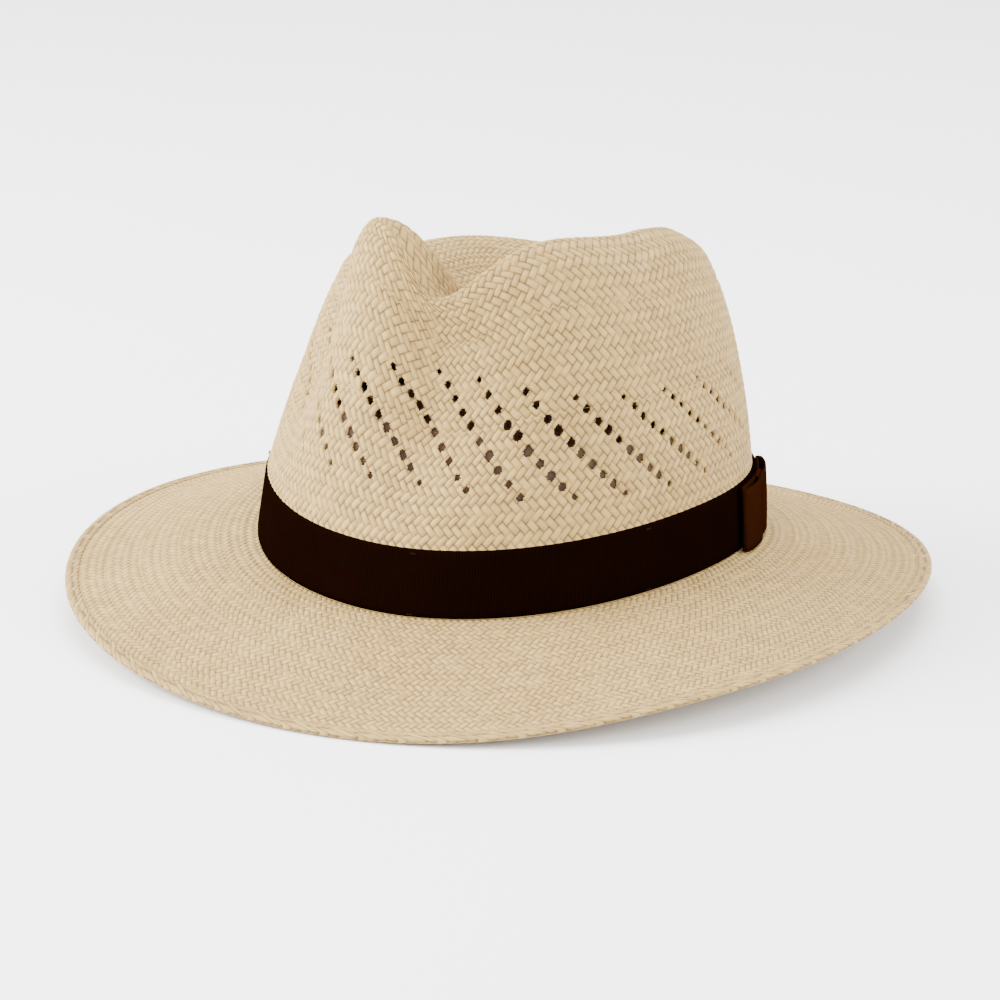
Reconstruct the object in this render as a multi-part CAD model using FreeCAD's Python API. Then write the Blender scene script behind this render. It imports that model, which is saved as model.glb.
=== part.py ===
import FreeCAD, Part
import math
import os

os.makedirs("parts", exist_ok=True)

# A pinch-front straw hat. X runs to the wearer's left, -Y is the front, Z is up. Sizes in mm.
# The hat is laid out on its head ring, the plane where the crown meets the brim, and then
# tipped a little and lifted, so that the brim stands on the ground under the middle of the hat.

# head ring: outside of the straw where the crown meets the brim
ring_half_width = 85.6
ring_half_length = 102.6
ring_squareness = 2.1
ring_wave = 3.6
straw_thickness = 1.1

# crown: heights of the upper edge above the head ring
crown_front_height = 139.0
crown_side_height = 113.7
crown_back_height = 95.5
crown_lean = 12.2
crown_dent_height = 80.0
crown_rim_half_width = 47.0
crown_rim_front = 84.0
crown_rim_back = 66.0
left_pinch_angle = 20.0
left_pinch_spread = 15.0
left_pinch_back_spread = 26.0
left_pinch_drop = 32.0
right_pinch_angle = 37.0
right_pinch_spread = 15.5
right_pinch_drop = 21.0
pinch_depth = 9.5
rim_pinch_share = 0.42
neck_drop = 0.4

# brim
brim_width = 70.7
brim_front_extra = 1.6
brim_end_extra = 1.0
brim_edge_drop = 17.5
brim_side_lift = 5.6
brim_twist = 4.3
brim_corner_angle = 60.0
brim_corner_spread = 22.0
brim_corner_lift = 3.4
brim_straight_share = 0.35
brim_edge_band = 5.6
brim_edge_thickness = 2.3
brim_gap = 0.08
brim_edge_round = 0.4

# hatband and bow
band_height = 25.8
band_thickness = 0.7
band_gap = 0.2
band_lean_side = 2.9
band_lean_end = 1.6
layer_gap = 0.15
overlap_start = 112.0
overlap_end = 142.0
bow_front = 109.0
bow_middle = 123.5
bow_back = 138.0
bow_height = 24.4
bow_loft = 1.8
bow_tape = 0.7
loop_gap = 0.4
loop_wall = 0.9
knot_half_width = 5.5
knot_thickness = 1.2
tack_length = 2.4
tack_diameter = 0.5
tack_angles = (20, 75, 190, 250, 305)
tack_levels = (0.06, 0.94)

# sweatband
sweat_height = 25.0
sweat_thickness = 1.2
sweat_gap = 0.5
reed_diameter = 1.8
stitch_length = 2.6
stitch_diameter = 0.5
stitch_count = 96
stitch_height = 2.6
seam_tape_width = 9.0
seam_tape_thickness = 0.6
tag_width = 22.0
tag_height = 13.0
tag_thickness = 0.4

# how the hat stands on its brim
side_tip = 2.8
front_tip = 0.5

around = 48


def ring_point(angle, half_width, half_length):
    """A point of the egg-round ring, at an angle from the front towards +X."""
    side = abs(math.sin(angle)) ** ring_squareness
    end = abs(math.cos(angle)) ** ring_squareness
    reach = (side + end) ** (-1.0 / ring_squareness)
    return (half_width * math.sin(angle) * reach, -half_length * math.cos(angle) * reach)


def ring_normal(angle, half_width, half_length):
    x, y = ring_point(angle, half_width, half_length)
    n = FreeCAD.Vector(x / half_width ** 2, y / half_length ** 2, 0)
    return n.normalize()


def ring_height(angle):
    return -ring_wave * math.cos(2 * angle)


def bump(angle, middle, spread):
    away = (angle - middle + math.pi) % (2 * math.pi) - math.pi
    return math.exp(-(away / spread) ** 2)


def left_pinch(angle):
    """The left pinch is steep towards the nose and runs out gently along the side."""
    behind = math.sin(angle - math.radians(left_pinch_angle)) > 0
    spread = left_pinch_back_spread if behind else left_pinch_spread
    return bump(angle, math.radians(left_pinch_angle), math.radians(spread))


def right_pinch(angle):
    return bump(angle, math.radians(-right_pinch_angle), math.radians(right_pinch_spread))


def rim_height(angle):
    along = math.cos(angle)
    if along > 0:
        height = crown_side_height + (crown_front_height - crown_side_height) * along ** 1.6
    else:
        height = crown_side_height + (crown_back_height - crown_side_height) * along ** 2
    drop = left_pinch_drop * left_pinch(angle) + right_pinch_drop * right_pinch(angle)
    return height - drop + crown_lean * math.sin(angle)


def pulled_in(x, y, distance):
    reach = math.hypot(x, y)
    return (x * (1 - distance / reach), y * (1 - distance / reach))


# crown rings above the hatband: share of the height, share of the way in at the side, front
# and back, and share of the pinch depth
crown_rings = (
    (0.22, 0.09, 0.19, 0.09, 0.35),
    (0.45, 0.22, 0.47, 0.22, 0.85),
    (0.66, 0.37, 0.70, 0.38, 1.0),
    (0.83, 0.55, 0.82, 0.55, 1.0),
    (0.94, 0.72, 0.88, 0.72, 0.75),
)
# dent rings: share of the rim's reach
dent_rings = (0.93, 0.84, 0.72, 0.59, 0.45, 0.30, 0.17, 0.07)


neck_ring = 3
rim_ring = neck_ring + len(crown_rings) + 1


def crown_ring(index, angle):
    """A point on the outside of the crown; ring 0 is the head ring, the last is the dent."""
    base = ring_height(angle)
    neck_half_width = ring_half_width - band_lean_side
    neck_half_length = ring_half_length - band_lean_end
    top = rim_height(angle)
    depth = pinch_depth * (left_pinch(angle) + right_pinch(angle))
    if index == 0:
        x, y = ring_point(angle, ring_half_width, ring_half_length)
        return FreeCAD.Vector(x, y, base)
    if index < neck_ring + 1:
        level = index / neck_ring
        half_width = ring_half_width - band_lean_side * level
        half_length = ring_half_length - band_lean_end * level
        x, y = ring_point(angle, half_width, half_length)
        return FreeCAD.Vector(x, y, base + (band_height + neck_drop) * level)
    if index < rim_ring:
        share, side_in, front_in, back_in, pinch_share = crown_rings[index - neck_ring - 1]
        end_in = front_in if math.cos(angle) > 0 else back_in
        rim_end = crown_rim_front if math.cos(angle) > 0 else crown_rim_back
        half_width = neck_half_width + (crown_rim_half_width - neck_half_width) * side_in
        half_length = neck_half_length + (rim_end - neck_half_length) * end_in
        x, y = ring_point(angle, half_width, half_length)
        x, y = pulled_in(x, y, depth * pinch_share)
        low = base + band_height + neck_drop
        return FreeCAD.Vector(x, y, low + (top - low) * share)
    rim_end = crown_rim_front if math.cos(angle) > 0 else crown_rim_back
    x, y = ring_point(angle, crown_rim_half_width, rim_end)
    x, y = pulled_in(x, y, depth * rim_pinch_share)
    if index == rim_ring:
        return FreeCAD.Vector(x, y, top)
    reach = dent_rings[index - rim_ring - 1]
    inwards = (1 - reach) / (1 - dent_rings[-1])
    down = inwards * inwards * (3 - 2 * inwards)
    return FreeCAD.Vector(x * reach, y * reach, top + (crown_dent_height - top) * down)


crown_ring_count = rim_ring + 1 + len(dent_rings)
steps_between_rings = 3
brim_steps = 12


def crown_point(index, share, angle):
    """A point of the smooth curve through one angle's ring points, past ring `index`."""
    start = crown_ring(index, angle)
    end = crown_ring(index + 1, angle)
    before = crown_ring(max(index - 1, 0), angle)
    after = crown_ring(min(index + 2, crown_ring_count - 1), angle)
    run = (end - start).Length
    leave = (end - before) * (run / (run + (start - before).Length))
    arrive = (after - start) * (run / (run + (after - end).Length))
    t = share
    point = start * (2 * t ** 3 - 3 * t ** 2 + 1) + end * (3 * t ** 2 - 2 * t ** 3)
    return point + leave * (t ** 3 - 2 * t ** 2 + t) + arrive * (t ** 3 - t ** 2)


def crown_skin_rings():
    rings = []
    for index in range(crown_ring_count - 1):
        for step in range(steps_between_rings):
            share = step / steps_between_rings
            rings.append([crown_point(index, share, a) for a in angles(around)])
    rings.append([crown_ring(crown_ring_count - 1, a) for a in angles(around)])
    return rings


def brim_width_at(angle):
    return brim_width + brim_front_extra * math.cos(angle) + brim_end_extra * math.cos(2 * angle)


def brim_edge_height(angle):
    tip_side = math.tan(math.radians(side_tip)) * (ring_half_width + brim_width)
    tip_front = math.tan(math.radians(front_tip)) * (ring_half_length + brim_width)
    saddle = -brim_side_lift * math.cos(2 * angle) - brim_twist * math.sin(2 * angle)
    corner_middle = math.radians(brim_corner_angle)
    corner = brim_corner_lift * bump(angle, corner_middle, math.radians(brim_corner_spread))
    level = tip_side * math.sin(angle) + tip_front * math.cos(angle)
    return -brim_edge_drop + saddle + corner + level


def brim_point(share, angle):
    """A point on the top of the brim, from the head ring (0) to the very edge (1)."""
    x, y = ring_point(angle, ring_half_width, ring_half_length)
    n = ring_normal(angle, ring_half_width, ring_half_length)
    out = brim_width_at(angle) * share
    drop = brim_edge_height(angle) - ring_height(angle)
    curved = share * share * (3 - 2 * share)
    slope = brim_straight_share * share + (1 - brim_straight_share) * curved
    return FreeCAD.Vector(x + n.x * out, y + n.y * out, ring_height(angle) + drop * slope)


def angles(count):
    return [2 * math.pi * (i + 0.5) / count for i in range(count)]


def closed_wire(points):
    curve = Part.BSplineCurve()
    curve.interpolate(points, PeriodicFlag=True)
    return Part.Wire([curve.toShape()])


def skin(rings):
    return Part.makeLoft([closed_wire(ring) for ring in rings], False, True)


def strip(first, second):
    return Part.makeLoft([closed_wire(first), closed_wire(second)], False, True)


def flat_cap(ring):
    return Part.Face(closed_wire(ring))


def sewn(shapes):
    faces = []
    for shape in shapes:
        faces += shape.Faces
    shell = Part.Compound(faces)
    shell.sewShape(0.02)
    solid = Part.Solid(Part.Shell(shell.Faces))
    solid.sewShape(0.02)
    solid = Part.Solid(Part.Shell(solid.Faces))
    if solid.Volume < 0:
        solid.reverse()
    return solid


def under_skin(rings, thickness):
    """Rings moved inwards by a thickness, along the skin's own normal."""
    inner = []
    last = len(rings) - 1
    for k, ring in enumerate(rings):
        before = rings[max(k - 1, 0)]
        after = rings[min(k + 1, last)]
        moved = []
        for i, point in enumerate(ring):
            along = ring[(i + 1) % len(ring)] - ring[i - 1]
            up = after[i] - before[i]
            n = along.cross(up).normalize()
            if k == 0:
                n = FreeCAD.Vector(n.x, n.y, 0).normalize()
            if k == last:
                n = FreeCAD.Vector(0, 0, 1)
            moved.append(point - n * thickness)
        inner.append(moved)
    return inner


def make_crown():
    outer = crown_skin_rings()
    inner = under_skin(outer, straw_thickness)
    caps = [flat_cap(outer[-1]), flat_cap(inner[-1])]
    return sewn([skin(outer), skin(inner), strip(outer[0], inner[0])] + caps)


def lowered(points, distance):
    return [FreeCAD.Vector(p.x, p.y, p.z - distance) for p in points]


def shifted_ring(z_offset, out):
    points = []
    for a in angles(around):
        x, y = ring_point(a, ring_half_width, ring_half_length)
        n = ring_normal(a, ring_half_width, ring_half_length)
        points.append(FreeCAD.Vector(x + n.x * out, y + n.y * out, ring_height(a) + z_offset))
    return points


def brim_ring(from_edge, drop, share=1.0):
    """A ring on the brim, some mm in from its edge (or a share of that), and lowered."""
    ring = []
    for a in angles(around):
        reach = share * (1 - from_edge / brim_width_at(a))
        ring.append(brim_point(reach, a) - FreeCAD.Vector(0, 0, drop))
    return ring


def make_brim():
    shares = [(i + 1) / brim_steps for i in range(brim_steps)]
    top = [lowered(shifted_ring(0, -straw_thickness), brim_gap)]
    top.append(lowered(shifted_ring(0, 0), brim_gap))
    for share in shares:
        top.append(brim_ring(brim_edge_band + brim_gap, brim_gap, share))
    bottom = [lowered(ring, straw_thickness) for ring in top]
    return sewn([skin(top), skin(bottom), strip(top[0], bottom[0]), strip(top[-1], bottom[-1])])


def make_brim_edge():
    lift = (brim_edge_thickness - straw_thickness) / 2
    outer_lift = lift - brim_edge_round / 2
    top_in = brim_ring(brim_edge_band, brim_gap - lift)
    top_out = brim_ring(brim_edge_round, brim_gap - outer_lift)
    mid = brim_ring(0, brim_gap + straw_thickness / 2)
    low_out = brim_ring(brim_edge_round, brim_gap + straw_thickness + outer_lift)
    low_in = brim_ring(brim_edge_band, brim_gap + straw_thickness + lift)
    rings = [top_in, top_out, mid, low_out, low_in, top_in]
    return sewn([strip(rings[i], rings[i + 1]) for i in range(5)])


def band_ring(level, out):
    """A ring round the foot of the crown at a level (0..1) of the hatband, out from the straw."""
    return [band_point(a, level, out) for a in angles(around)]


def band_point(angle, level, out):
    half_width = ring_half_width - band_lean_side * level
    half_length = ring_half_length - band_lean_end * level
    x, y = ring_point(angle, half_width, half_length)
    n = ring_normal(angle, half_width, half_length)
    z = ring_height(angle) + band_height * level
    return FreeCAD.Vector(x + n.x * out, y + n.y * out, z)


def hoop(low, high, inner, outer):
    """A plain hoop between two levels of the hatband and two distances from the straw."""
    corners = ((low, outer), (high, outer), (high, inner), (low, inner), (low, outer))
    rings = [band_ring(level, out) for level, out in corners]
    return sewn([strip(rings[i], rings[i + 1]) for i in range(4)])


def make_hatband():
    return hoop(0.015, 1.0, band_gap, band_gap + band_thickness)


def patch(first, last, low, high, inner, outer):
    """A piece that lies on the crown's foot between two angles, levels and distances."""
    spans = 8
    sections = []
    for i in range(spans + 1):
        a = math.radians(first + (last - first) * i / spans)
        n = ring_normal(a, ring_half_width, ring_half_length)
        foot = band_point(a, low, 0)
        head = band_point(a, high, 0)
        corners = [foot + n * inner, foot + n * outer, head + n * outer, head + n * inner]
        sections.append(Part.makePolygon(closed(corners)))
    return Part.makeLoft(sections, True, True)


band_face = band_gap + band_thickness
overlap_face = band_face + layer_gap + band_thickness
bow_back_face = overlap_face + layer_gap
bow_low = 0.5 - bow_height / band_height / 2
bow_high = 0.5 + bow_height / band_height / 2


def make_overlap():
    inner = band_face + layer_gap
    return patch(overlap_start, overlap_end, 0.02, 0.98, inner, inner + band_thickness)


def loop_profile(tip, middle, inset, level):
    """Half of the bow seen from above: a flattened loop that narrows towards the knot."""
    steps = 9
    front = []
    back = []
    for i in range(steps + 1):
        share = i / steps
        a = math.radians(tip + (middle - tip) * share)
        bulge = bow_loft * math.sin(math.pi * (0.16 + 0.72 * share)) ** 0.7
        thickness = 2 * bow_tape + layer_gap + bulge
        front.append(bow_point(a, level, bow_back_face + thickness - inset))
        back.append(bow_point(a, level, bow_back_face + inset))
    return Part.makePolygon(closed(front + back[::-1]))


def bow_point(angle, level, out):
    """A point of the bow, on a flat plane that follows the slope of the hatband there."""
    start = band_point(math.radians(bow_front), 0, 0)
    end = band_point(math.radians(bow_back), 0, 0)
    run = FreeCAD.Vector(end.x - start.x, end.y - start.y, 0)
    point = band_point(angle, level, out)
    share = FreeCAD.Vector(point.x - start.x, point.y - start.y, 0).dot(run) / run.dot(run)
    point.z = start.z + (end.z - start.z) * share + band_height * level
    return point


def make_loop(tip, middle):
    end = middle + math.copysign(loop_gap, tip - middle)
    wall = math.copysign(loop_wall, end - tip)
    outer = [loop_profile(tip, end, 0, level) for level in (bow_low, bow_high)]
    through = (bow_low - 0.2, bow_high + 0.2)
    inner = [loop_profile(tip + wall, end - wall, bow_tape, level) for level in through]
    return Part.makeLoft(outer, True, True).cut(Part.makeLoft(inner, True, True))


def closed(points):
    return points + [points[0]]


def make_knot():
    half_angle = math.degrees(knot_half_width / ring_half_length)
    first = bow_middle - half_angle
    last = bow_middle + half_angle
    inner = bow_back_face + 2 * bow_tape + layer_gap + bow_loft + layer_gap
    return patch(first, last, bow_low - 0.01, bow_high + 0.01, inner, inner + knot_thickness)


def along_ring(angle, level, out, length, diameter):
    """A short thread that lies along the hoop."""
    turn = length / 2 / ring_half_length
    start = band_point(angle - turn, level, out)
    end = band_point(angle + turn, level, out)
    return Part.makeCylinder(diameter / 2, (end - start).Length, start, end - start)


def make_tacks():
    out = band_face + layer_gap + tack_diameter / 2
    tacks = []
    for a in tack_angles:
        for level in tack_levels:
            tacks.append(along_ring(math.radians(a), level, out, tack_length, tack_diameter))
    return Part.makeCompound(tacks)


sweat_out = -(straw_thickness + sweat_gap)
sweat_in = sweat_out - sweat_thickness
sweat_foot = reed_diameter + 0.3


def make_sweatband():
    high = (sweat_foot + sweat_height) / band_height
    return hoop(sweat_foot / band_height, high, sweat_in, sweat_out)


def make_reed():
    centre = sweat_out - reed_diameter / 2
    sections = []
    for k in range(9):
        turn = math.pi * k / 4
        out = centre + reed_diameter / 2 * math.cos(turn)
        level = (reed_diameter / 2 + reed_diameter / 2 * math.sin(turn)) / band_height
        sections.append([band_point(a, level, out) for a in angles(around)])
    return sewn([strip(sections[i], sections[i + 1]) for i in range(8)])


def make_stitches():
    out = sweat_in - layer_gap - stitch_diameter / 2
    level = (sweat_foot + stitch_height) / band_height
    threads = []
    for i in range(stitch_count):
        a = 2 * math.pi * (i + 0.5) / stitch_count
        if abs(math.degrees(a) - 180) > 6:
            threads.append(along_ring(a, level, out, stitch_length, stitch_diameter))
    return Part.makeCompound(threads)


def make_seam_tape():
    half_angle = math.degrees(seam_tape_width / 2 / ring_half_width)
    outer = sweat_in - layer_gap
    low = (sweat_foot + 0.5) / band_height
    high = (sweat_foot + sweat_height - 0.5) / band_height
    return patch(180 - half_angle, 180 + half_angle, low, high, outer - seam_tape_thickness, outer)


def make_tag():
    half_angle = math.degrees(tag_width / 2 / ring_half_length)
    outer = sweat_in - layer_gap
    low = (sweat_foot + sweat_height / 2 - tag_height / 2) / band_height
    high = (sweat_foot + sweat_height / 2 + tag_height / 2) / band_height
    return patch(270 - half_angle, 270 + half_angle, low, high, outer - tag_thickness, outer)


pieces = {
    "crown": make_crown(),
    "brim": make_brim(),
    "brim_edge": make_brim_edge(),
    "hatband": make_hatband(),
    "hatband_overlap": make_overlap(),
    "bow_front_loop": make_loop(bow_front, bow_middle),
    "bow_back_loop": make_loop(bow_back, bow_middle),
    "bow_knot": make_knot(),
    "hatband_tacks": make_tacks(),
    "sweatband": make_sweatband(),
    "sweatband_reed": make_reed(),
    "sweatband_stitches": make_stitches(),
    "sweatband_seam_tape": make_seam_tape(),
    "size_tag": make_tag(),
}

for shape in pieces.values():
    shape.rotate(FreeCAD.Vector(0, 0, 0), FreeCAD.Vector(0, 1, 0), side_tip)
    shape.rotate(FreeCAD.Vector(0, 0, 0), FreeCAD.Vector(1, 0, 0), front_tip)

box = FreeCAD.BoundBox()
for shape in pieces.values():
    box.add(shape.optimalBoundingBox(False))
foot = FreeCAD.Vector(box.Center.x, box.Center.y, box.ZMin)

for name, shape in pieces.items():
    shape.translate(foot * -1)
    shape.exportStep("parts/" + name + ".step")
    state = "valid" if shape.isValid() else "NOT VALID"
    print(name, len(shape.Solids), "solids", round(shape.Volume, 1), "mm3", state)
print("box", box.XLength, box.YLength, box.ZLength, "foot", foot)
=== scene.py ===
import math
import bmesh
import bpy
import numpy as np
from mathutils import Matrix, Vector


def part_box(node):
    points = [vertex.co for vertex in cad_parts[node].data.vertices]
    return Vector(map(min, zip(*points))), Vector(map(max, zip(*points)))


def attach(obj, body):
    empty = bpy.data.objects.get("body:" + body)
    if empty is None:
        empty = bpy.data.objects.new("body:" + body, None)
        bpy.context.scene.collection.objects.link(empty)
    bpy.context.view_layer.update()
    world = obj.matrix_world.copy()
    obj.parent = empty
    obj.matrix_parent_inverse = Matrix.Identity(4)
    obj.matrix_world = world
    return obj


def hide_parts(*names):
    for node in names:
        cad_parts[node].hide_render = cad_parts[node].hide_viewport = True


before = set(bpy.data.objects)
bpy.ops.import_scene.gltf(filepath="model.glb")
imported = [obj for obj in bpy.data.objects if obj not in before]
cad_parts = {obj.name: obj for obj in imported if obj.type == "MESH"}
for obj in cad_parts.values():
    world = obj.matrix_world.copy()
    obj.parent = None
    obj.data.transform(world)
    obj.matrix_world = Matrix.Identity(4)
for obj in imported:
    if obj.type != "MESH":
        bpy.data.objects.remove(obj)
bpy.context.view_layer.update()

bpy.ops.object.select_all(action="DESELECT")
mm = 0.001

# The hat's own sizes, in mm about its head ring: X to the wearer's left, -Y the front.
hat = {
    "ringWidth": 85.6, "ringLength": 102.6, "squareness": 2.1, "ringWave": 3.6,
    "straw": 1.1, "bandHeight": 25.8, "neckDrop": 0.4, "leanSide": 2.9, "leanEnd": 1.6,
    "sideTip": 2.8, "frontTip": 0.5,
}


def ringAngles(columns):
    return np.arange(columns) * 2 * np.pi / columns


def ringPoint(angle, halfWidth, halfLength):
    side = np.abs(np.sin(angle)) ** hat["squareness"]
    end = np.abs(np.cos(angle)) ** hat["squareness"]
    reach = (side + end) ** (-1.0 / hat["squareness"])
    return halfWidth * np.sin(angle) * reach, -halfLength * np.cos(angle) * reach


def ringNormal(angle):
    x, y = ringPoint(angle, hat["ringWidth"], hat["ringLength"])
    nx, ny = x / hat["ringWidth"] ** 2, y / hat["ringLength"] ** 2
    size = np.hypot(nx, ny)
    return nx / size, ny / size


def ringHeight(angle):
    return -hat["ringWave"] * np.cos(2 * angle)


# Crown: each ring as share of the height, shares of the way in, share of the pinch.
crown = {
    "front": 139.0, "side": 113.7, "back": 95.5, "lean": 12.2, "dent": 80.0,
    "rimWidth": 47.0, "rimFront": 84.0, "rimBack": 66.0,
    "leftPinch": (20.0, 15.0, 26.0, 32.0), "rightPinch": (-37.0, 15.5, 15.5, 21.0),
    "pinchDepth": 9.5,
    "rimPinch": 0.42,
    "rings": ((0.22, 0.09, 0.19, 0.09, 0.35), (0.45, 0.22, 0.47, 0.22, 0.85),
              (0.66, 0.37, 0.70, 0.38, 1.0), (0.83, 0.55, 0.82, 0.55, 1.0),
              (0.94, 0.72, 0.88, 0.72, 0.75)),
    "dentRings": (0.93, 0.84, 0.72, 0.59, 0.45, 0.30, 0.17, 0.07),
    "neckRing": 3, "topTurn": 0.6, "topRises": (112, 134),
}


def bump(angle, middle, spread, backSpread):
    away = (angle - math.radians(middle) + np.pi) % (2 * np.pi) - np.pi
    return np.exp(-(away / np.radians(np.where(away > 0, backSpread, spread))) ** 2)


def rimHeight(angle):
    along = np.cos(angle)
    front = (crown["front"] - crown["side"]) * np.abs(along) ** 1.6
    back = (crown["back"] - crown["side"]) * along ** 2
    height = crown["side"] + np.where(along > 0, front, back)
    for name in ("leftPinch", "rightPinch"):
        height = height - crown[name][3] * bump(angle, *crown[name][:3])
    return height + crown["lean"] * np.sin(angle)


def crownRing(index, angle):
    base = ringHeight(angle)
    top = rimHeight(angle)
    pinched = bump(angle, *crown["leftPinch"][:3]) + bump(angle, *crown["rightPinch"][:3])
    depth = crown["pinchDepth"] * pinched
    low = hat["bandHeight"] + hat["neckDrop"]
    neckWidth = hat["ringWidth"] - hat["leanSide"]
    neckLength = hat["ringLength"] - hat["leanEnd"]
    neck = crown["neckRing"]
    rim = neck + len(crown["rings"]) + 1
    forward = np.cos(angle) > 0
    rimEnd = np.where(forward, crown["rimFront"], crown["rimBack"])
    if index <= neck:
        level = index / neck
        x, y = ringPoint(angle, hat["ringWidth"] - hat["leanSide"] * level,
                         hat["ringLength"] - hat["leanEnd"] * level)
        return np.stack([x, y, base + low * level], -1)
    if index < rim:
        share, sideIn, frontIn, backIn, pinchShare = crown["rings"][index - neck - 1]
        endIn = np.where(forward, frontIn, backIn)
        x, y = ringPoint(angle, neckWidth + (crown["rimWidth"] - neckWidth) * sideIn,
                         neckLength + (rimEnd - neckLength) * endIn)
        keep = 1 - depth * pinchShare / np.hypot(x, y)
        return np.stack([x * keep, y * keep, base + low + (top - base - low) * share], -1)
    x, y = ringPoint(angle, crown["rimWidth"], rimEnd)
    keep = 1 - depth * crown["rimPinch"] / np.hypot(x, y)
    if index == rim:
        return np.stack([x * keep, y * keep, top], -1)
    reach = crown["dentRings"][index - rim - 1]
    inwards = (1 - reach) / (1 - crown["dentRings"][-1])
    down = inwards * inwards * (3 - 2 * inwards)
    return np.stack([x * keep * reach, y * keep * reach, top + (crown["dent"] - top) * down], -1)


crownCount = crown["neckRing"] + len(crown["rings"]) + 2 + len(crown["dentRings"])


def length(vectors):
    return np.linalg.norm(vectors, axis=-1, keepdims=True)


# Rows of crown points at given lengths up the wall, over the rim and down into the dent.
sampleAngles = np.linspace(0, 2 * np.pi, 97)[:-1]
sampleRings = np.stack([crownRing(k, sampleAngles) for k in range(crownCount)])
ringSteps = length(np.diff(sampleRings, axis=0)).mean(axis=(1, 2))
ringStarts = np.concatenate([[0], np.cumsum(ringSteps)])


def crownSurface(angle, rise):
    rings = np.stack([crownRing(k, angle) for k in range(crownCount)])
    index = np.clip(np.searchsorted(ringStarts, rise, side="right") - 1, 0, crownCount - 2)
    t = ((rise - ringStarts[index]) / ringSteps[index])[:, None, None]
    start, end = rings[index], rings[index + 1]
    before, after = rings[np.maximum(index - 1, 0)], rings[np.minimum(index + 2, crownCount - 1)]
    run = length(end - start)
    leave = (end - before) * run / (run + length(start - before))
    arrive = (after - start) * run / (run + length(after - end))
    point = start * (2 * t ** 3 - 3 * t ** 2 + 1) + end * (3 * t ** 2 - 2 * t ** 3)
    return point + leave * (t ** 3 - 2 * t ** 2 + t) + arrive * (t ** 3 - t ** 2)


brim = {
    "width": 70.7, "frontExtra": 1.6, "endExtra": 1.0, "drop": 17.5, "sideLift": 5.6,
    "twist": 4.3, "edgeBand": 5.6, "edgeThickness": 2.3, "gap": 0.08,
    "corner": (60.0, 22.0, 22.0), "cornerLift": 3.4, "straightShare": 0.35,
    "tuck": 0.4, "columns": 528, "zones": (0.0, 0.215, 0.43, 0.645, 0.86, 1.0),
}


def brimWidthAt(angle):
    return brim["width"] + brim["frontExtra"] * np.cos(angle) + brim["endExtra"] * np.cos(2 * angle)


def brimSurface(angle, share):
    x, y = ringPoint(angle, hat["ringWidth"], hat["ringLength"])
    nx, ny = ringNormal(angle)
    out = brimWidthAt(angle) * share
    tipSide = math.tan(math.radians(hat["sideTip"])) * (hat["ringWidth"] + brim["width"])
    tipFront = math.tan(math.radians(hat["frontTip"])) * (hat["ringLength"] + brim["width"])
    edge = -brim["drop"] - brim["sideLift"] * np.cos(2 * angle) - brim["twist"] * np.sin(2 * angle)
    edge = edge + tipSide * np.sin(angle) + tipFront * np.cos(angle)
    edge = edge + brim["cornerLift"] * bump(angle, *brim["corner"])
    straight = brim["straightShare"]
    slope = straight * share + (1 - straight) * share * share * (3 - 2 * share)
    z = ringHeight(angle) + (edge - ringHeight(angle)) * slope
    return np.stack([x + nx * out, y + ny * out, z - brim["gap"]], -1)


def bandPoint(angle, level, out):
    x, y = ringPoint(angle, hat["ringWidth"] - hat["leanSide"] * level,
                     hat["ringLength"] - hat["leanEnd"] * level)
    nx, ny = ringNormal(angle)
    return np.stack([x + nx * out, y + ny * out, ringHeight(angle) + hat["bandHeight"] * level], -1)


# The hat is tipped on its brim and stands over the frame's origin.
tip = Matrix.Rotation(math.radians(hat["frontTip"]), 3, "X") @ Matrix.Rotation(
    math.radians(hat["sideTip"]), 3, "Y")
tip = np.array(tip)


def tipped(points):
    return points @ tip.T * mm


edgeRow = tipped(brimSurface(np.linspace(0, 2 * np.pi, 721), 1.0))
edgeLow, edgeHigh = (np.array(corner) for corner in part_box("brim_edge"))
topAngles = np.linspace(-crown["topTurn"], crown["topTurn"], 241)
topRises = np.linspace(*crown["topRises"], 89)
crownTop = tipped(crownSurface(topAngles, topRises))[..., 2].max()
stand = (edgeLow + edgeHigh) / 2 - (edgeRow.min(axis=0) + edgeRow.max(axis=0)) / 2
stand[2] = np.array(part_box("crown")[1])[2] - crownTop


def placed(points):
    return tipped(points) + stand


def newObject(name, points, faces, node, uv, triangles):
    mesh = bpy.data.meshes.new(name)
    mesh.from_pydata(points.tolist(), [], faces.tolist() + triangles)
    layer = mesh.uv_layers.new(name="strands")
    uv = np.concatenate([uv, np.zeros((3 * len(triangles), 2))])
    layer.data.foreach_set("uv", np.asarray(uv, dtype=np.float32).ravel())
    mesh.update()
    piece = bpy.data.objects.new(name, mesh)
    bpy.context.collection.objects.link(piece)
    mesh.shade_smooth()
    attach(piece, "root")
    for item in node:
        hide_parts(item)
    return piece


def faceOutwards(mesh):
    # for closed pieces, whose rows may run either way round
    shell = bmesh.new()
    shell.from_mesh(mesh)
    bmesh.ops.recalc_face_normals(shell, faces=shell.faces)
    shell.to_mesh(mesh)
    shell.free()


def threeSided(quads):
    # quads that closed up to triangles, as at the middle of the dent
    corners = [list(dict.fromkeys(quad.tolist())) for quad in quads]
    return [three for three in corners if len(three) == 3]


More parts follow.
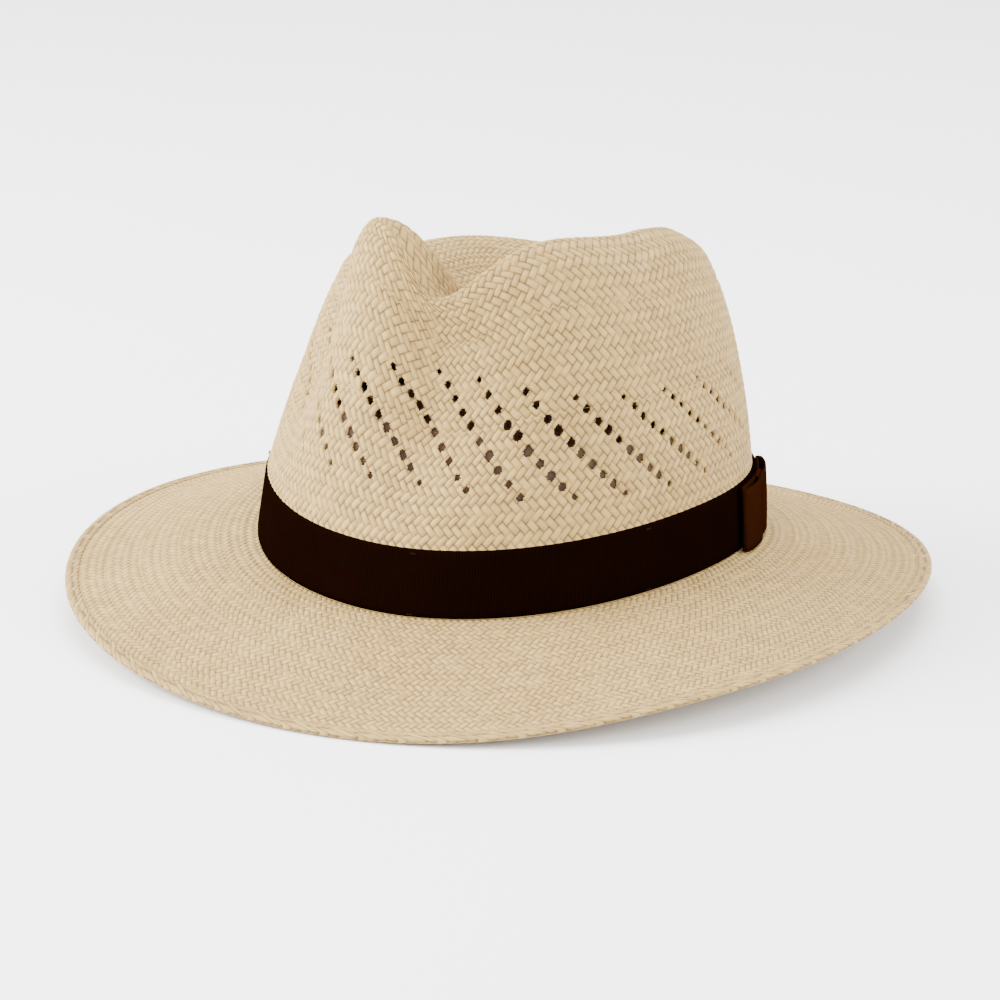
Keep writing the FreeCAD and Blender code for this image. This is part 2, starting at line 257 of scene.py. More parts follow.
class Patch:
    # Collects grids of points as one mesh; each grid brings its own strand coordinates.
    weld = 2e-7  # in metres: points nearer than this are one

    def __init__(self):
        self.points, self.faces, self.uvs, self.count = [], [], [], 0

    def grid(self, points, uv=None, keep=None, ring=True, flip=False):
        rows, columns = points.shape[:2]
        first = self.count
        self.points.append(points.reshape(-1, 3))
        self.count += rows * columns
        r, c = np.meshgrid(np.arange(rows - 1), np.arange(columns if ring else columns - 1),
                           indexing="ij")
        if keep is not None:
            r, c = r[keep], c[keep]
        r, c = r.ravel(), c.ravel()
        n = (c + 1) % columns
        corners = [(r, c, c), (r, n, c + 1), (r + 1, n, c + 1), (r + 1, c, c)]
        if flip:
            corners.reverse()
        quads = np.stack([first + row * columns + column for row, column, turn in corners], -1)
        self.faces.append(quads)
        if uv is None:
            uv = lambda row, turn: (row * 0.0 + 0.5, turn * 0.0 + 0.5)
        self.uvs.append(np.stack([np.stack(uv(row, turn), -1) for row, column, turn in corners], 1))

    def build(self, name, node, closed=True):
        points = placed(np.concatenate(self.points))
        faces = np.concatenate(self.faces)
        uvs = np.concatenate(self.uvs)
        used = np.zeros(len(points), bool)
        used[faces.ravel()] = True
        points, faces = points[used], (np.cumsum(used) - 1)[faces]
        spots = np.round(points / self.weld).astype(np.int64)
        first, joined = np.unique(spots, axis=0, return_index=True, return_inverse=True)[1:]
        faces = joined.ravel()[faces]
        sound = np.ones(len(faces), bool)
        for a in range(4):
            sound &= faces[:, a] != faces[:, (a + 1) % 4]
        sound &= (faces[:, 0] != faces[:, 2]) & (faces[:, 1] != faces[:, 3])
        piece = newObject(name, points[first], faces[sound], node,
                          uvs[sound].reshape(-1, 2), threeSided(faces[~sound]))
        if closed:
            faceOutwards(piece.data)
        return piece


def surfaceNormals(points):
    wrapped = np.concatenate([points[:, -1:], points, points[:, :1]], axis=1)
    along = wrapped[:, 2:] - wrapped[:, :-2]
    up = np.gradient(points, axis=0)
    normal = np.cross(along, up)
    return normal / np.maximum(length(normal), 1e-9)


# Weave: two families of straws on the diagonals, each over two and under two.
weave = {"pitch": 3.4, "brimPitch": 2.9, "samples": 6, "relief": 0.62, "level": 0.66, "round": 0.6,
         "under": 0.3, "uneven": 0.25, "waves": ((0.37, 0.11), (-0.05, 0.23)), "seam": -0.35}


def weaveHeight(first, second):
    i, j = np.floor(first), np.floor(second)
    firstOver = (i - j) % 4 < 2
    across = np.where(firstOver, first - i, second - j) - 0.5
    along = np.where(firstOver, (second - i + 1) % 4, (first - j - 2) % 4) / 2
    crossShape = 1 - weave["round"] * (2 * across) ** 4
    arch = np.sqrt(np.clip(np.sin(np.pi * np.clip(along, 0, 1)), 0, 1))
    return crossShape * (weave["under"] + (1 - weave["under"]) * arch)


def wovenGrid(patch, surface, start, end, pitch, fine=1, thickness=0, holes=None, side=1):
    samples = weave["samples"]
    middle = surface(sampleAngles, np.array([(start + end) / 2]))[0]
    around = length(np.roll(middle, -1, axis=0) - middle).sum()
    repeats = 2 * round(around / pitch / 2)
    columns = repeats * samples // fine
    rows = max(3, round((end - start) / (around / columns))) + 1
    angle = ringAngles(columns)
    rise = np.linspace(start, end, rows)
    points = surface(angle, rise)
    normal = surfaceNormals(points)
    r, c = np.meshgrid(np.arange(rows) * fine, np.arange(columns) * fine, indexing="ij")
    height = weaveHeight((c - r) / samples, (c + r) / samples) - weave["level"]
    (c1, r1), (c2, r2) = weave["waves"]
    height = height * (1 + weave["uneven"] * np.sin(c * c1 + r * r1) * np.sin(c * c2 + r * r2))
    inside = np.minimum(np.arange(rows), rows - 1 - np.arange(rows))[:, None] > 0
    height = np.where(inside, height, weave["seam"])
    moved = points + normal * (side * height * weave["relief"] - thickness)[..., None]
    keep = None
    if holes is not None:
        keep = ~holes(angle + np.pi / columns, (rise[1:] + rise[:-1]) / 2)
    uv = lambda row, turn: ((turn - row) * fine / samples, (turn + row) * fine / samples)
    patch.grid(moved, uv, keep, flip=side < 0)
    if holes is not None and side > 0:
        addHoleWalls(patch, points, normal, moved, keep)


def addHoleWalls(patch, points, normal, moved, keep):
    rows, columns = moved.shape[:2]
    deep = points - normal * hat["straw"]
    for r, c in zip(*np.nonzero(~keep)):
        n = (c + 1) % columns
        sides = (((r, c), (r, n), r - 1, c), ((r, n), (r + 1, n), r, n),
                 ((r + 1, n), (r + 1, c), r + 1, c), ((r + 1, c), (r, c), r, c - 1))
        for a, b, otherRow, otherColumn in sides:
            if 0 <= otherRow < rows - 1 and not keep[otherRow, otherColumn % columns]:
                continue
            wall = np.array([[moved[a], moved[b]], [deep[a], deep[b]]])
            patch.grid(wall, ring=False)


# Vents: slanted rows of small holes, with heights over the ring and all other sizes in mm.
vents = {
    "rows": 28, "holes": 10, "first": 6.0, "slant": 25.0, "top": (79.7, 8.1), "bottom": (43.5, 6.0),
    "size": 1.5, "smallest": 0.86, "spread": 0.26, "rowEnd": 0.62, "radius": 84.0,
    "frontMore": 0.22, "frontTurn": 15, "corner": 1.5, "strayTurn": 0.0022, "strayRise": 0.2,
    "seed": 7, "backedBelow": 0.5, "upTo": 90,
}
ventRises = np.arange(15, 119.0)
ventHeights = crownSurface(np.radians(np.arange(360)), ventRises)[..., 2]


def ventMask(angle, rise, through=1.0):
    rng = np.random.default_rng(vents["seed"])
    mask = np.zeros((len(rise), len(angle)), bool)
    for row in range(vents["rows"]):
        for hole in range(vents["holes"]):
            share = hole / (vents["holes"] - 1)
            size = vents["size"] * (vents["smallest"] + vents["spread"] * rng.random())
            fromEnd = min(1, 4 * min(share, 1 - share) + 0.25)
            size *= vents["rowEnd"] + (1 - vents["rowEnd"]) * fromEnd
            place = row * 360 / vents["rows"]
            size *= 1 + vents["frontMore"] * math.cos(math.radians(place - vents["frontTurn"]))
            turn = math.radians(vents["first"] + place + vents["slant"] * share)
            turn += rng.normal(0, vents["strayTurn"])
            top, bottom = (level + wave * math.cos(2 * turn) + ringHeight(turn)
                           for level, wave in (vents["top"], vents["bottom"]))
            column = ventHeights[:, int(math.degrees(turn)) % 360]
            middle = np.interp(top + (bottom - top) * share, column, ventRises)
            middle += rng.normal(0, vents["strayRise"])
            near = np.nonzero(np.abs(rise - middle) < 2 * size)[0]
            if share > through or not len(near):
                continue
            away = (angle - turn + np.pi) % (2 * np.pi) - np.pi
            wide = np.nonzero(np.abs(away) * vents["radius"] < 2 * size)[0]
            dx = np.abs(away[wide] * vents["radius"])[None, :]
            dy = np.abs(rise[near] - middle)[:, None]
            corner = vents["corner"]
            mask[np.ix_(near, wide)] |= dx ** corner + dy ** corner < size ** corner
    return mask


def backedMask(angle, rise):
    # the inner straws close the lower vents from behind, so that the painted shade of the inside straw
    # keeps them dark
    return ventMask(angle, rise, vents["backedBelow"])


def plainGrid(patch, surface, start, end, columns, rows, thickness=0, flip=False):
    points = surface(ringAngles(columns), np.linspace(start, end, rows))
    patch.grid(points - surfaceNormals(points) * thickness, flip=flip)


def closeWithPoint(patch, surface, end, columns, thickness, flip):
    ring = surface(ringAngles(columns), np.array([end]))[0]
    ring = ring - np.array([0, 0, thickness])
    middle = np.repeat(ring.mean(axis=0)[None], columns, axis=0)
    patch.grid(np.stack([ring, middle]), flip=flip)


def pairs(edges):
    return list(zip(edges[:-1], edges[1:]))


# Bands of the crown with their own straw count, from the ribbon up to the middle of the dent.
shell = {"edges": (23, 66, 98, 122, 146, 162, 173, 181, 186.5), "foot": (500, 12), "pole": 72,
         "insideFoot": (250, 8), "insidePole": 36}


def buildCrown():
    straw, bands = hat["straw"], pairs(shell["edges"])
    footTop, pole = shell["edges"][0], shell["edges"][-1]
    pieces = []
    for name, chosen in (("strawCrownWall", bands[:1]), ("strawCrownUpper", bands[1:3]),
                         ("strawCrownTop", bands[3:])):
        patch = Patch()
        if name == "strawCrownWall":
            plainGrid(patch, crownSurface, 0, footTop, *shell["foot"])
        for start, end in chosen:
            holes = ventMask if start < vents["upTo"] else None
            wovenGrid(patch, crownSurface, start, end, weave["pitch"], holes=holes)
        if name == "strawCrownTop":
            closeWithPoint(patch, crownSurface, pole, shell["pole"], 0, False)
        pieces.append(patch.build(name, ["crown"], closed=False))
    inside = Patch()
    plainGrid(inside, crownSurface, 0, footTop, *shell["insideFoot"], straw, True)
    for start, end in bands:
        holes = backedMask if start < vents["upTo"] else None
        wovenGrid(inside, crownSurface, start, end, weave["pitch"], 2, straw, holes, -1)
    closeWithPoint(inside, crownSurface, pole, shell["insidePole"], straw, True)
    pieces.append(inside.build("strawCrownInside", ["crown"], closed=False))
    return pieces


def buildBrim():
    reach, zones = brim["width"] - brim["edgeBand"], pairs(brim["zones"])
    angle = ringAngles(brim["columns"])
    nx, ny = ringNormal(angle)
    inwards = -np.stack([nx, ny, nx * 0], -1) * hat["straw"]
    down = np.array([0, 0, -hat["straw"]])

    def below(turn, rise):
        toEdge = 1 - (brim["edgeBand"] - brim["tuck"]) / brimWidthAt(turn)
        return np.stack([brimSurface(turn, share * toEdge) for share in rise / reach])

    def above(turn, rise):
        return below(turn, rise)[::-1]

    inner = below(angle, np.array([0.0]))[0]
    pieces = []
    for name, chosen in (("strawBrimInner", zones[:3]), ("strawBrimOuter", zones[3:])):
        patch = Patch()
        for start, end in chosen:
            wovenGrid(patch, above, start * reach, end * reach, weave["brimPitch"])
        if name == "strawBrimInner":
            patch.grid(np.stack([inner, inner + inwards, inner + inwards + down]))
        pieces.append(patch.build(name, ["brim"], closed=False))
    under = Patch()
    under.grid(np.stack([inner + down + inwards, inner + down]))
    for start, end in zones:
        wovenGrid(under, below, start * reach, end * reach, weave["brimPitch"], 2, -hat["straw"])
    pieces.append(under.build("strawBrimUnder", ["brim"], closed=False))
    return pieces


# The straw ends are folded back and woven in, as a slanted rope round the rim.
rope = {"pitch": 3.4, "relief": 0.42, "columns": 1500, "rows": 26, "insetWide": 0.3,
        "insetHigh": 0.12, "flatWide": 0.75, "flatHigh": 0.6, "slant": 1.6, "round": 0.55,
        "level": 0.7, "seam": 0.25, "seamPlace": 0.15, "seamWidth": 0.5, "pattern": 4.0}


def buildBrimEdge():
    count, rows = rope["columns"], rope["rows"]
    angle = ringAngles(count)
    half = brim["edgeBand"] / 2
    core = np.array([0, 0, hat["straw"] / 2])
    middle = brimSurface(angle, 1 - half / brimWidthAt(angle)) - core
    outer = brimSurface(angle, np.ones(count)) - core
    out = outer - middle
    out = out / length(out)
    strands = round(length(np.diff(outer, axis=0)).sum() / rope["pitch"])
    layers = []
    for row in range(rows):
        turn = -2 * np.pi * row / rows
        a, b = np.cos(turn), np.sin(turn)
        wide = np.sign(a) * abs(a) ** rope["flatWide"] * (half - rope["insetWide"])
        high = np.sign(b) * abs(b) ** rope["flatHigh"] * (brim["edgeThickness"] / 2 - rope["insetHigh"])
        lie = np.arange(count) / count * strands - rope["slant"] * a
        seam = np.exp(-((wide + half * rope["seamPlace"]) / rope["seamWidth"]) ** 2) * (b > 0)
        strand = np.abs(np.sin(np.pi * lie)) ** rope["round"] - rope["level"]
        swell = rope["relief"] * strand - rope["seam"] * seam
        point = middle + out * wide + np.array([0, 0, high])
        layers.append(point + (out * a + np.array([0, 0, b])) * swell[:, None])
    patch = Patch()
    uv = lambda row, turn: (turn / count * strands - rope["slant"] * np.cos(2 * np.pi * row / rows),
                            row / rows * rope["pattern"])
    patch.grid(np.stack(layers + layers[:1]), uv)
    return [patch.build("strawBrimEdge", ["brim_edge"])]


# Ribbon: grosgrain ribs stand across the tape.
ribbon = {
    "gap": 0.2, "thick": 0.7, "rib": 1.05, "relief": 0.1, "layer": 0.15, "flatLength": 596.0,
    "low": 0.02, "columns": 2320, "levels": 15, "inset": 0.12, "wander": ((9, 1, 0.12), (23, 2, 0.08)),
    "selvedge": ((0.08, 0.8, 0.5), (-0.25, 0.0, 0.3)), "overlap": (112.0, 142.0), "overlapHigh": 0.98,
    "ribSamples": 4, "ribPhase": 0.4, "tapeHalf": 0.3, "belly": 0.25, "tapeLevels": 11,
}


def ribShape(count):
    wave = np.sin(np.pi * np.arange(count) / ribbon["ribSamples"] + ribbon["ribPhase"])
    return np.abs(wave) - 0.5


def buildHatband():
    columns, low, high = ribbon["columns"], ribbon["low"], 1.0
    angle = ringAngles(columns)
    slow = sum(depth * np.sin(angle * waves + start) for waves, start, depth in ribbon["wander"])
    inner = ribbon["gap"]
    outer = inner + ribbon["thick"] - ribbon["inset"] + ribbon["relief"] * ribShape(columns)
    rows = []
    for level in np.linspace(low, high, ribbon["levels"]):
        edge = min(level - low, high - level) * hat["bandHeight"]
        selvedge = sum(depth * math.exp(-((edge - place) / wide) ** 2)
                       for depth, place, wide in ribbon["selvedge"])
        rows.append(bandPoint(angle, level, outer + selvedge + slow * (level - low) * 0.6))
    rows += [bandPoint(angle, high, inner), bandPoint(angle, low, inner), rows[0]]
    patch = Patch()
    patch.grid(np.stack(rows), lambda row, turn: (turn / ribbon["ribSamples"], row * 1.0))
    piece = patch.build("ribbonBand", ["hatband"])
    return [piece]


def tapePath(name, node, path, low, high):
    # path: rows of (angle in degrees, distance out from the straw), out to a loop's tip and back
    steps = length(np.diff(np.stack([bandPoint(np.radians(a), 0.5, o) for a, o in path]), axis=0))
    along = np.concatenate([[0], np.cumsum(steps)])
    total = along[-1]
    places = np.linspace(0, total, round(total / ribbon["rib"]) * ribbon["ribSamples"] + 1)
    soften = np.ones(5) / 5
    angle, out = (np.convolve(np.pad(np.interp(places, along, values), 2, mode="edge"), soften,
                              mode="valid") for values in zip(*path))
    angle = np.radians(angle)
    tangent = np.gradient(bandPoint(angle, 0.5, out), axis=0)
    tangent = tangent / np.maximum(length(tangent), 1e-9)
    side = np.cross(tangent, np.array([0, 0, 1.0]))
    thick = ribbon["tapeHalf"] + ribbon["relief"] * ribShape(len(places))[:, None]
    count = ribbon["tapeLevels"]
    levels = np.linspace(low, high, count)
    rows = []
    for face, order in ((1, levels), (-1, levels[::-1])):
        for level in order:
            belly = ribbon["belly"] * math.sin(math.pi * (level - low) / (high - low))
            rows.append(bandPoint(angle, level, out) + side * (face * thick + belly))
    points = np.stack(rows + rows[:1])
    patch = Patch()
    patch.grid(points, lambda row, turn: (turn / ribbon["ribSamples"], row * 1.0), ring=False)
    for column, turned in ((0, False), (len(places) - 1, True)):
        cap = np.stack([points[:count, column], points[2 * count - 1:count - 1:-1, column]], 1)
        patch.grid(cap, ring=False, flip=turned)
    piece = patch.build(name, node)
    tall = (high - low) * hat["bandHeight"] * mm
    return piece


bow = {"front": 109.0, "middle": 123.5, "back": 138.0, "height": 24.4, "loft": 1.8,
       "tipTurn": 1.1, "tipReach": 0.75, "knotTurn": 0.6, "rest": 0.4, "lift": 1.1, "foot": 0.1,
       "swell": (0.88, 0.68, 0.7)}
bowLow = 0.5 - bow["height"] / hat["bandHeight"] / 2
bowHigh = 0.5 + bow["height"] / hat["bandHeight"] / 2


def buildBow():
    overlap = ribbon["gap"] + ribbon["thick"] + ribbon["layer"]
    pieces = [tapePath("ribbonOverlap", ["hatband_overlap"],
                       [(a, overlap + ribbon["thick"] / 2) for a in np.linspace(*ribbon["overlap"], 12)],
                       ribbon["low"], ribbon["overlapHigh"])]
    back = overlap + ribbon["thick"] + ribbon["layer"] + bow["rest"]
    start, fall, power = bow["swell"]
    for name, node, tipAngle in (("bowFrontLoop", "bow_front_loop", bow["front"]),
                                 ("bowBackLoop", "bow_back_loop", bow["back"])):
        sign = 1 if tipAngle > bow["middle"] else -1
        root = bow["middle"] + bow["knotTurn"] * sign
        outer, inner = [], []
        for share in np.linspace(0, 1, 20):
            a = root + (tipAngle - sign * bow["tipTurn"] - root) * share
            lift = bow["loft"] * math.sin(math.pi * (start - fall * share)) ** power
            outer.append((a, back + bow["lift"] + lift))
            inner.append((a, back + bow["foot"]))
        radius = (outer[-1][1] - inner[-1][1]) / 2
        centre = (outer[-1][1] + inner[-1][1]) / 2
        reach = sign * bow["tipTurn"] * bow["tipReach"]
        bend = [(outer[-1][0] + reach * math.cos(t), centre + radius * math.sin(t))
                for t in np.linspace(math.pi / 2, -math.pi / 2, 12)[1:-1]]
        path = outer + bend + inner[::-1]
        pieces.append(tapePath(name, [node], path, bowLow, bowHigh))
    return pieces


# One narrow tape, folded lengthwise and wrapped over the middle of both loops.
knot = {"half": 5.5, "rows": 41, "columns": 33, "over": 0.008, "steep": 5, "rib": 0.12,
        "pleat": 0.35, "pleatWidth": 0.16, "pleatUnder": 0.4, "edge": 0.5, "lift": 1.2,
        "foot": 0.4, "loftShare": 0.55, "pattern": 25.0, "wrap": 1.35}


def buildKnot():
    face = ribbon["gap"] + 2 * ribbon["thick"] + 2 * ribbon["layer"]
    over = face + 2 * ribbon["thick"] + ribbon["layer"] + bow["loft"] * knot["loftShare"]
    half = math.degrees(knot["half"] / hat["ringLength"])
    across = np.linspace(-1, 1, knot["columns"])
    angle = np.radians(bow["middle"] + half * across)
    pleat = -knot["pleat"] * np.exp(-(across / knot["pleatWidth"]) ** 2)
    pleat = pleat - knot["edge"] * np.abs(across) ** 8
    top, bottom = [], []
    for share in np.linspace(0, 1, knot["rows"]):
        level = bowLow - knot["over"] + (bowHigh - bowLow + 2 * knot["over"]) * share
        rise = min(share, 1 - share) * 2
        tuck = 1 - (1 - min(1, rise * knot["steep"])) ** 2
        wave = abs(math.sin(math.pi * share * bow["height"] / ribbon["rib"])) - 0.5
        outer = face + knot["lift"] + (over - face) * tuck + pleat + knot["rib"] * wave
        inner = face + knot["foot"] + (over - face - knot["foot"]) * tuck
        inner = inner + pleat * knot["pleatUnder"]
        top.append(bandPoint(angle, level, outer))
        bottom.append(bandPoint(angle, level, inner))
    top, bottom = np.stack(top), np.stack(bottom)
    patch = Patch()
    uv = lambda row, turn: (row / knot["rows"] * knot["pattern"], turn * 1.0)
    patch.grid(top, uv, ring=False)
    patch.grid(bottom, uv, ring=False, flip=True)
    for side in ([bottom[0], top[0]], [top[-1], bottom[-1]], [top[:, 0], bottom[:, 0]],
                 [bottom[:, -1], top[:, -1]]):
        patch.grid(np.stack(side), ring=False)
    piece = patch.build("bowKnot", ["bow_knot"])
    tall = bow["height"] * mm * knot["wrap"]
    return [piece]


sweat = {"gap": 0.5, "thick": 1.2, "height": 25.0, "foot": 2.1, "columns": 720, "rows": 16,
         "ripples": ((7, 0, 0.18), (17, 1, 0.1)), "ease": 0.6, "groove": 0.18, "grooveRise": 2.6,
         "grooveWidth": 0.5, "crest": 0.012, "grain": (6.0, 1.5)}


def buildSweatband():
    outer = -(hat["straw"] + sweat["gap"])
    inner = outer - sweat["thick"]
    angle = ringAngles(sweat["columns"])
    low = sweat["foot"] / hat["bandHeight"]
    high = (sweat["foot"] + sweat["height"]) / hat["bandHeight"]
    ripple = sum(depth * np.sin(angle * waves + start) for waves, start, depth in sweat["ripples"])
    rows = []
    for share in np.linspace(0, 1, sweat["rows"]):
        away = (share * sweat["height"] - sweat["grooveRise"]) / sweat["grooveWidth"]
        out = inner - ripple * share * sweat["ease"] + sweat["groove"] * math.exp(-away ** 2)
        rows.append(bandPoint(angle, low + (high - low) * share, out))
    rows.append(bandPoint(angle, high + sweat["crest"], (inner + outer) / 2))
    rows += [bandPoint(angle, high, outer), bandPoint(angle, low, outer), rows[0]]
    patch = Patch()
    turnGrain, riseGrain = sweat["grain"]
    patch.grid(np.stack(rows), lambda row, turn: (turn / turnGrain, row * riseGrain), flip=True)
    return [patch.build("leatherSweatband", ["sweatband"])]


print("shapes ready")


class Wire:
    # Wraps one socket, so that shader values are written as sums.
    def __init__(self, tree, socket):
        self.tree, self.socket = tree, socket

    def put(self, operation, *others):
        node = self.tree.nodes.new("ShaderNodeMath")
        node.operation = operation
        for slot, value in enumerate(others):
            if isinstance(value, Wire):
                self.tree.links.new(value.socket, node.inputs[slot])
            else:
                node.inputs[slot].default_value = value
        return Wire(self.tree, node.outputs[0])

    def __add__(self, other):
        return self.put("ADD", self, other)

    def __radd__(self, other):
        return self.put("ADD", other, self)

    def __sub__(self, other):
        return self.put("SUBTRACT", self, other)

    def __rsub__(self, other):
        return self.put("SUBTRACT", other, self)

    def __mul__(self, other):
        return self.put("MULTIPLY", self, other)

    def __rmul__(self, other):
        return self.put("MULTIPLY", other, self)

    def __mod__(self, other):
        return self.put("FLOORED_MODULO", self, other)

    def __pow__(self, other):
        return self.put("POWER", self, other)

    def __lt__(self, other):
        return self.put("LESS_THAN", self, other)

    def __abs__(self):
        return self.put("ABSOLUTE", self)

    def floor(self):
        return self.put("FLOOR", self)

    def sine(self):
        return self.put("SINE", self)

    def least(self, other):
        return self.put("MINIMUM", self, other)

    def most(self, other):
        return self.put("MAXIMUM", self, other)

    def pick(self, high, low):
        return low + self * (high - low)


class Finish:
    # One material: a fresh node tree with its Principled shader at hand.
    def __init__(self, name, roughness, sheen=0.0, specular=0.25):
        self.material = bpy.data.materials.new(name)
        self.material.use_nodes = True
        self.tree = self.material.node_tree
        self.shader = self.tree.nodes["Principled BSDF"]
        self.shader.inputs["Roughness"].default_value = roughness
        self.shader.inputs["Sheen Weight"].default_value = sheen
        self.shader.inputs["Specular IOR Level"].default_value = specular
        self.shader.inputs["Sheen Roughness"].default_value = 0.5
        self.shader.inputs["Sheen Tint"].default_value = (0.9, 0.7, 0.45, 1)

    def node(self, kind, settings, inputs, output=0):
        node = self.tree.nodes.new("ShaderNode" + kind)
        for key, value in settings.items():
            setattr(node, key, value)
        for key, value in inputs.items():
            if isinstance(value, Wire):
                self.tree.links.new(value.socket, node.inputs[key])
            else:
                node.inputs[key].default_value = value
        return Wire(self.tree, node.outputs[output])

    def strands(self):
        uv = self.node("UVMap", {"uv_map": "strands"}, {})
        first = self.node("SeparateXYZ", {}, {0: uv})
        return first, Wire(self.tree, first.socket.node.outputs[1])

    def place(self):
        return self.node("TexCoord", {}, {}, 3)

    def noise(self, vector, scale, detail=2.0, roughness=0.5):
        return self.node("TexNoise", {}, {"Vector": vector, "Scale": scale, "Detail": detail,
                                          "Roughness": roughness})

    def random(self, value):
        return self.node("TexWhiteNoise", {"noise_dimensions": "1D"}, {"W": value})

    def mixed(self, share, low, high):
        return self.node("Mix", {"data_type": "RGBA"}, {0: share, 6: low, 7: high}, 2)

    def feed(self, name, wire):
        self.tree.links.new(wire.socket, self.shader.inputs[name])

    def bump(self, height, strength, distance):
        normal = self.node("Bump", {}, {"Height": height, "Strength": strength,
                                        "Distance": distance})
        self.feed("Normal", normal)


def strawFinish(name, pale, deep, shade):
    finish = Finish(name, 0.62, 0.12)
    first, second = finish.strands()
    i, j = first.floor(), second.floor()
    firstOver = ((i - j) % 4.0) < 2.0
    across = firstOver.pick(first - i, second - j) - 0.5
    along = firstOver.pick((second - i + 1.0) % 4.0, (first - j - 2.0) % 4.0) * 0.5
    strand = firstOver.pick(i * 1.37, j * 2.11 + 500.3)
    pick = firstOver.pick(i * 7.1 + j * 3.3, i * 5.7 + j * 9.1 + 77.0)
    tone = finish.random(strand)
    floatTone = finish.random(pick)
    fibre = finish.node("CombineXYZ", {}, {0: across * 9.0, 1: along * 0.7, 2: strand})
    streak = finish.noise(fibre, 1.6, 3.0, 0.6)
    place = finish.place()
    cloud = finish.noise(place, 14.0, 3.0)
    # painted shade: straw edges and float ends are darkened toward the shade colour, its strength varied
    # by a noise
    side = 1.0 - (abs(across) * 2.0) ** 5.0
    ends = (1.0 - (abs(along - 0.5) * 2.0) ** 6.0).most(0.0)
    gapShadeNoise = finish.noise(place, 260.0, 3.0)
    edges = 1.0 - (side.most(0.0) * ends).least(1.0)
    clear = 1.0 - edges * (gapShadeNoise * 3.2 - 0.7).least(1.0).most(0.3)
    value = 0.36 * tone + 0.3 * floatTone + 0.55 * streak + 0.5 * cloud - 0.32
    body = finish.mixed(value.least(1.0).most(0.0), deep, pale)
    shaded = finish.mixed(clear ** 0.8, shade, body)
    finish.feed("Base Color", shaded)
    finish.feed("Roughness", 0.5 + 0.2 * streak + 0.1 * tone)
    arch = 0.35 + 0.65 * (along * math.pi).sine().most(0.0)
    finish.bump((1.0 - 0.8 * (across * 2.0) ** 2.0) * arch + 0.12 * streak, 0.55, 0.0005)
    return finish.material


def ribFinish(name, dark, light):
    finish = Finish(name, 0.7, specular=0.0)
    turn, rise = finish.strands()
    rib = abs((turn * math.pi + 0.4).sine())
    place = finish.place()
    cloud = finish.noise(place, 60.0, 3.0)
    fine = finish.noise(place, 1400.0, 2.0)
    value = (0.45 * rib + 0.35 * cloud + 0.4 * fine - 0.2).least(1.0).most(0.0)
    finish.feed("Base Color", finish.mixed(value, dark, light))
    finish.feed("Roughness", 0.62 + 0.2 * fine)
    finish.bump(rib + 0.4 * fine, 0.35, 0.0002)
    return finish.material


def leatherFinish(name, dark, light):
    finish = Finish(name, 0.5)
    place = finish.place()
    grain = finish.node("TexVoronoi", {}, {"Vector": place, "Scale": 900.0})
    cloud = finish.noise(place, 35.0, 4.0)
    value = (0.8 * cloud + 0.35 * grain - 0.1).least(1.0).most(0.0)
    finish.feed("Base Color", finish.mixed(value, dark, light))
    finish.feed("Roughness", 0.42 + 0.25 * cloud)
    finish.bump(grain + 0.5 * cloud, 0.4, 0.0002)
    return finish.material


def threadFinish(name, dark, light, scale=2500.0):
    finish = Finish(name, 0.8, 0.0, 0.05)
    place = finish.place()
    twist = finish.node("TexWave", {"bands_direction": "DIAGONAL"},
                        {"Vector": place, "Scale": scale, "Distortion": 1.0})
    cloud = finish.noise(place, 300.0)
    finish.feed("Base Color", finish.mixed((0.6 * twist + 0.5 * cloud).least(1.0), dark, light))
    finish.feed("Roughness", 0.65 + 0.2 * cloud)
    finish.bump(twist, 0.5, 0.0001)
    return finish.material


def dress(pieces, material):
    for piece in pieces:
        piece.data.materials.clear()
        piece.data.materials.append(material)


def dressNode(name, material):
    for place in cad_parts[name].material_slots:
        place.material = material


crownPieces = buildCrown()
print("crown woven")
brimPieces = buildBrim() + buildBrimEdge()
print("brim woven")
bandPieces = buildHatband()
bowPieces = buildBow() + buildKnot()
print("ribbon and bow tied")
sweatPieces = buildSweatband()

# Colours from the darker to the lighter, but straw from pale to deep to the painted shade between
# straws.
colours = {
    "toquillaStraw": ((0.43, 0.29, 0.098, 1), (0.25, 0.152, 0.04, 1), (0.045, 0.02, 0.006, 1)),
    # the inside straw is a darker copy of the straw: painted shade
    "strawInside": ((0.05, 0.022, 0.008, 1), (0.022, 0.0095, 0.0035, 1), (0.008, 0.0035, 0.0015, 1)),
    "ribbonGrosgrain": ((0.001, 0.0003, 0.0001, 1), (0.006, 0.0017, 0.0007, 1)),
    # the bow's grosgrain is a lighter copy of the ribbon's: painted light on the bow
    "bowGrosgrain": ((0.005, 0.0014, 0.0006, 1), (0.022, 0.0058, 0.0014, 1)),
    "sweatLeather": ((0.10, 0.045, 0.022, 1), (0.22, 0.11, 0.055, 1)),
    "darkThread": ((0.002, 0.0007, 0.0004, 1), (0.01, 0.003, 0.0015, 1)),
    "paleThread": ((0.2, 0.13, 0.07, 1), (0.36, 0.25, 0.14, 1)),
    "reedCloth": ((0.2, 0.13, 0.075, 1), (0.34, 0.24, 0.15, 1)),
    "tagCloth": ((0.16, 0.1, 0.05, 1), (0.27, 0.18, 0.1, 1)),
}


def finished(make, name, *extra):
    return make(name, *colours[name], *extra)


dress(crownPieces[:-1] + brimPieces, finished(strawFinish, "toquillaStraw"))
# the inside of the crown takes the dark copy of the straw: painted shade
dress(crownPieces[-1:], finished(strawFinish, "strawInside"))
dress(bandPieces + bowPieces[:1], finished(ribFinish, "ribbonGrosgrain"))
